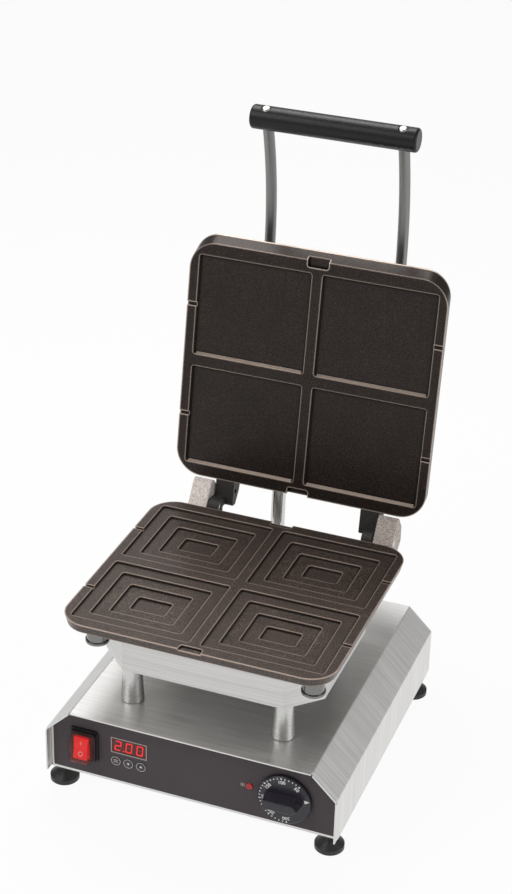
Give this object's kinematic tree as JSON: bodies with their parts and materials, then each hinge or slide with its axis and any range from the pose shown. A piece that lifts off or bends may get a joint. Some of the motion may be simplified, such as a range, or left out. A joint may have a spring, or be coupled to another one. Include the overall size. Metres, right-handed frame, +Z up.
{
  "type": "jaffle iron",
  "caption": "Bench-top jaffle iron with a stepped lower baking plate, a hinged upper plate with a bar handle, and a control panel on a steel base",
  "frame": {"origin": "on the surface that the feet stand on, under the middle of the open machine's overall box", "axes": "+X to the user's right, +Y from the control panel to the hinge, +Z up"},
  "size_m": [0.328, 0.425, 0.6404],
  "materials": {
    "stainless_sheet": "fine brushed stainless",
    "brushed_sheet": "brushed stainless, folded",
    "printed_panel": "dark printed film on steel",
    "fasteners": "bright steel",
    "insulation": "pressed mineral board",
    "element": "heat-darkened steel tube",
    "probe": "plain steel",
    "coated_plate": "dark non-stick coating with fine speckle",
    "raw_casting": "raw cast, lightly speckled",
    "dark_casting": "dark satin casting",
    "polished_leg": "turned and polished steel",
    "polished_nut": "polished",
    "foot_rubber": "matt black rubber",
    "rod_steel": "satin steel bar",
    "grip": "black satin moulding",
    "black_plastic": "black moulded plastic",
    "knob": "black satin with white marks",
    "rocker": "glossy red",
    "splash_cover": "clear red-tinted silicone",
    "display_frame": "thin grey frame",
    "display_window": "dark red window with red digits",
    "keys": "dark film with grey ring and white mark",
    "lamp": "translucent amber lens",
    "thermostat": "moulded body",
    "spindle": "turned brass",
    "ceramic_block": "glazed block",
    "gland_metal": "plated",
    "conduit": "smooth light metal tube"
  },
  "bodies": {
    "base": {"base_floor": "stainless_sheet", "base_housing": "stainless_sheet", "case_screws": "fasteners", "conduit_gland_lower": "gland_metal", "cord_gland": "black_plastic", "display_frame": "display_frame", "display_window": "display_window", "foot_bolts": "fasteners", "foot_front_left": "foot_rubber", "foot_front_right": "foot_rubber", "foot_rear_left": "foot_rubber", "foot_rear_right": "foot_rubber", "front_panel": "printed_panel", "hinge_pins": "fasteners", "hinge_post_bolts": "fasteners", "hinge_post_left": "raw_casting", "hinge_post_right": "raw_casting", "indicator_lamp": "lamp", "leg_bolts": "fasteners", "leg_front_left": "polished_leg", "leg_front_right": "polished_leg", "leg_rear_left": "polished_leg", "leg_rear_right": "polished_leg", "lower_baking_plate": "coated_plate", "lower_heater_housing": "brushed_sheet", "lower_heating_element": "element", "lower_insulation": "insulation", "lower_plate_studs": "fasteners", "lower_temperature_probe": "probe", "rear_panel": "stainless_sheet", "splash_cover": "splash_cover", "switch_body": "black_plastic", "terminal_block": "ceramic_block", "thermostat_body": "thermostat", "timer_controller": "black_plastic", "wiring_conduit": "conduit"},
    "lid": {"upper_baking_plate": "coated_plate", "upper_plate_studs": "fasteners", "upper_heater_housing": "brushed_sheet", "upper_insulation": "insulation", "upper_heating_element": "element", "hinge_arm_left": "dark_casting", "hinge_arm_right": "dark_casting", "hinge_arm_bolts": "fasteners", "handle_rod_left": "rod_steel", "handle_rod_right": "rod_steel", "handle_nuts": "fasteners", "handle_grip": "grip", "handle_screws": "fasteners", "conduit_gland_upper": "gland_metal"},
    "power_rocker": {"power_rocker": "rocker"},
    "thermostat_knob": {"thermostat_knob": "knob", "thermostat_spindle": "spindle"},
    "key_program": {"key_program": "keys"},
    "key_down": {"key_down": "keys"},
    "key_up": {"key_up": "keys"},
    "lower_plate_nut_left": {"lower_plate_nut_left": "polished_nut"},
    "lower_plate_nut_right": {"lower_plate_nut_right": "polished_nut"},
    "upper_plate_nut_left": {"upper_plate_nut_left": "polished_nut"},
    "upper_plate_nut_right": {"upper_plate_nut_right": "polished_nut"}
  },
  "joints": [
    {"name": "lid_hinge", "type": "hinge", "parent": "base", "child": "lid", "pos_m": [0, 0.09166, 0.2001], "axis": [1, 0, 0], "range_deg": [0, 99], "deforming": ["wiring_conduit"]},
    {"name": "power_rocker_tilt", "type": "hinge", "parent": "base", "child": "power_rocker", "pos_m": [-0.1197, -0.19674, 0.059], "axis": [1, 0, 0], "range_deg": [0, 16]},
    {"name": "thermostat_knob_turn", "type": "hinge", "parent": "base", "child": "thermostat_knob", "pos_m": [0.1029, -0.20324, 0.0561], "axis": [0, 1, 0], "range_deg": [0, 270]},
    {"name": "key_program_press", "type": "slide", "parent": "base", "child": "key_program", "axis": [0, 1, 0], "range_m": [0, 0.0008], "stiffness_N_per_m": 900},
    {"name": "key_down_press", "type": "slide", "parent": "base", "child": "key_down", "axis": [0, 1, 0], "range_m": [0, 0.0008], "stiffness_N_per_m": 900},
    {"name": "key_up_press", "type": "slide", "parent": "base", "child": "key_up", "axis": [0, 1, 0], "range_m": [0, 0.0008], "stiffness_N_per_m": 900},
    {"name": "lower_plate_nut_left_turn", "type": "hinge", "parent": "base", "child": "lower_plate_nut_left", "pos_m": [-0.1175, -0.16324, 0.185], "axis": [0, 0, 1], "continuous": true},
    {"name": "lower_plate_nut_right_turn", "type": "hinge", "parent": "base", "child": "lower_plate_nut_right", "pos_m": [0.1175, -0.16324, 0.185], "axis": [0, 0, 1], "continuous": true},
    {"name": "upper_plate_nut_left_turn", "type": "hinge", "parent": "lid", "child": "upper_plate_nut_left", "pos_m": [-0.1175, 0.17302, 0.44529], "axis": [0, 0.9877, -0.1564], "continuous": true},
    {"name": "upper_plate_nut_right_turn", "type": "hinge", "parent": "lid", "child": "upper_plate_nut_right", "pos_m": [0.1175, 0.17302, 0.44529], "axis": [0, 0.9877, -0.1564], "continuous": true}
  ]
}
